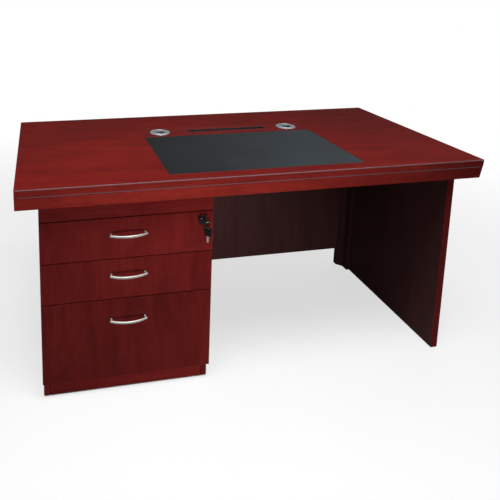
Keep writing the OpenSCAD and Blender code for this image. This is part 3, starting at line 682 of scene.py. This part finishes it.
def make_floor():
    """Pale floor that glows with painted light for the camera, brightening to white away from the desk like a
    studio sweep, but not under the pedestal. It gives little light back, so that the space under the desk
    stays dark."""
    s = Shader("pale_floor")
    place = s.position()
    mottle = s.noise(place, scale=3, detail=3)
    grain = s.noise(place, scale=900, detail=1)
    rays = s.add("ShaderNodeLightPath").outputs
    paint = s.ramp(mottle, (0.3, (0.86, 0.86, 0.86)), (0.7, (0.90, 0.90, 0.895)))
    paint = s.blend(rays["Is Camera Ray"], (0.30, 0.29, 0.29), paint)
    paint = s.blend(rays["Is Glossy Ray"], paint, (0.10, 0.095, 0.095))
    s.finish(Base_Color=paint, Roughness=0.9, Specular_IOR_Level=0.1, Normal=s.bump(grain, 0.05 * MM, 0.3))

    def outside(value, low, high):
        from_middle = s.math("ABSOLUTE", s.math("SUBTRACT", value, (low + high) / 2))
        return s.math("GREATER_THAN", from_middle, (high - low) / 2)

    low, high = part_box("pedestal_left_side")[0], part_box("pedestal_right_side")[1]
    split = s.split(place)
    clear = s.math("MAXIMUM", outside(split[0], low.x, high.x), outside(split[1], low.y, high.y))
    # Painted light: the floor glows for the camera, more away from the desk, and not under the pedestal.
    floor_glow = s.remap(s.vector("LENGTH", place), *FLOOR_GLOW_REACH, *FLOOR_GLOW_SHARE)
    floor_glow = s.math("MULTIPLY", s.math("MULTIPLY", floor_glow, rays["Is Camera Ray"]), clear)
    glow_light = s.add("ShaderNodeEmission", {"Color": WHITE, "Strength": 1.0}).outputs[0]
    mix = s.add("ShaderNodeMixShader", {0: floor_glow, 1: s.surface.outputs[0], 2: glow_light}).outputs[0]
    s.put(s.tree.nodes["Material Output"].inputs["Surface"], mix)
    corners = [(x * FLOOR_HALF, y * FLOOR_HALF, 0) for x, y in ((-1, -1), (1, -1), (1, 1), (-1, 1))]
    mesh = bpy.data.meshes.new("floor")
    mesh.from_pydata(corners, [], [(0, 1, 2, 3)])
    mesh.materials.append(s.material)
    floor = bpy.data.objects.new("floor", mesh)
    bpy.context.scene.collection.objects.link(floor)


def make_world():
    """White to the camera and weak grey as light. Reflections are bright only from above and in front, so
    metal shines while the lacquered top stays deep."""
    world = bpy.data.worlds.new("studio")
    bpy.context.scene.world = world
    world.use_nodes = True
    world.node_tree.nodes.clear()
    t = Tree(world.node_tree)
    rays = t.add("ShaderNodeLightPath").outputs

    def background(level):
        return t.add("ShaderNodeBackground", {"Strength": level, "Color": WHITE}).outputs[0]

    def choose(factor, a, b):
        return t.add("ShaderNodeMixShader", {0: factor, 1: a, 2: b}).outputs[0]

    bright_way = (0, -0.6, 0.8)
    way = t.add("ShaderNodeTexCoord").outputs["Generated"]
    glow = t.remap(t.vector("DOT_PRODUCT", way, bright_way), 0.0, 0.9, 0.07, 1.1)
    seen = choose(rays["Is Glossy Ray"], background(0.16), background(glow))
    seen = choose(rays["Is Camera Ray"], seen, background(1.0))
    t.add("ShaderNodeOutputWorld", {"Surface": seen})


def area_light(name, place, target, size, power, spread=180, mirrored=True):
    """Soft rectangular lamp. One that isn't mirrored leaves no highlight on glossy surfaces."""
    data = bpy.data.lights.new(name, "AREA")
    data.spread = math.radians(spread)
    data.shape = "RECTANGLE"
    data.size, data.size_y = size
    data.energy = power
    lamp = bpy.data.objects.new(name, data)
    lamp.location = place
    lamp.rotation_euler = (Vector(target) - Vector(place)).to_track_quat("-Z", "Y").to_euler()
    lamp.visible_glossy = mirrored
    bpy.context.scene.collection.objects.link(lamp)


CAMERA_PLACE = Vector((-0.7119, -1.8989, 1.3799))
CAMERA_AZIMUTH, CAMERA_TILT, CAMERA_ROLL = 0.180, 0.164, -0.004
FOCAL_LENGTH, SENSOR_WIDTH = 1.0644, 36
LENS_SHIFT = {"shift_x": 0.2285, "shift_y": -0.3744}


def shift_at_home(camera, path, value):
    """Drives a lens shift that holds only at the camera's own viewpoint, so that other views stay centred."""
    driver = camera.data.driver_add(path).driver
    driver.type = "SCRIPTED"
    for name, kind in (("x", "LOC_X"), ("y", "LOC_Y")):
        variable = driver.variables.new()
        variable.name = name
        variable.type = "TRANSFORMS"
        variable.targets[0].id = camera
        variable.targets[0].transform_type = kind
        variable.targets[0].transform_space = "WORLD_SPACE"
    away = f"abs(x - {CAMERA_PLACE.x:.4f}) + abs(y - {CAMERA_PLACE.y:.4f})"
    driver.expression = f"{value} if {away} < 0.01 else 0.0"


def make_camera():
    """Camera at the reference viewpoint: in front and to the left, looking slightly right and down through
    an off-centre lens. The focal length is given as a share of the picture's width."""
    data = bpy.data.cameras.new("camera")
    data.sensor_width = SENSOR_WIDTH
    data.lens = FOCAL_LENGTH * SENSOR_WIDTH
    data.clip_start, data.clip_end = 0.05, 100
    camera = bpy.data.objects.new("camera", data)
    ahead = Vector((math.sin(CAMERA_AZIMUTH) * math.cos(CAMERA_TILT),
                    math.cos(CAMERA_AZIMUTH) * math.cos(CAMERA_TILT), -math.sin(CAMERA_TILT)))
    level = ahead.to_track_quat("-Z", "Y").to_matrix()
    camera.rotation_euler = (level @ Matrix.Rotation(-CAMERA_ROLL, 3, "Z")).to_euler()
    camera.location = CAMERA_PLACE
    bpy.context.scene.collection.objects.link(camera)
    bpy.context.scene.camera = camera
    for path, value in LENS_SHIFT.items():
        shift_at_home(camera, path, value)


bpy.context.scene.view_settings.view_transform = "Standard"
make_floor()
make_world()
area_light("key", (-0.30, -1.10, 3.3), (-0.25, -0.80, 0.75), (2.6, 1.0), 24, spread=75)
area_light("fill", (-1.0, -3.3, 2.0), (-0.3, 0, 0.5), (2.0, 1.4), 3)
area_light("front", (-0.45, -1.9, 0.12), (-0.10, -0.33, 0.48), (0.4, 0.2), 2.8, spread=75, mirrored=False)
area_light("back", (3.1, 2.8, 1.1), (0.3, 0.1, 0.4), (2.0, 1.4), 26, mirrored=False)
make_camera()
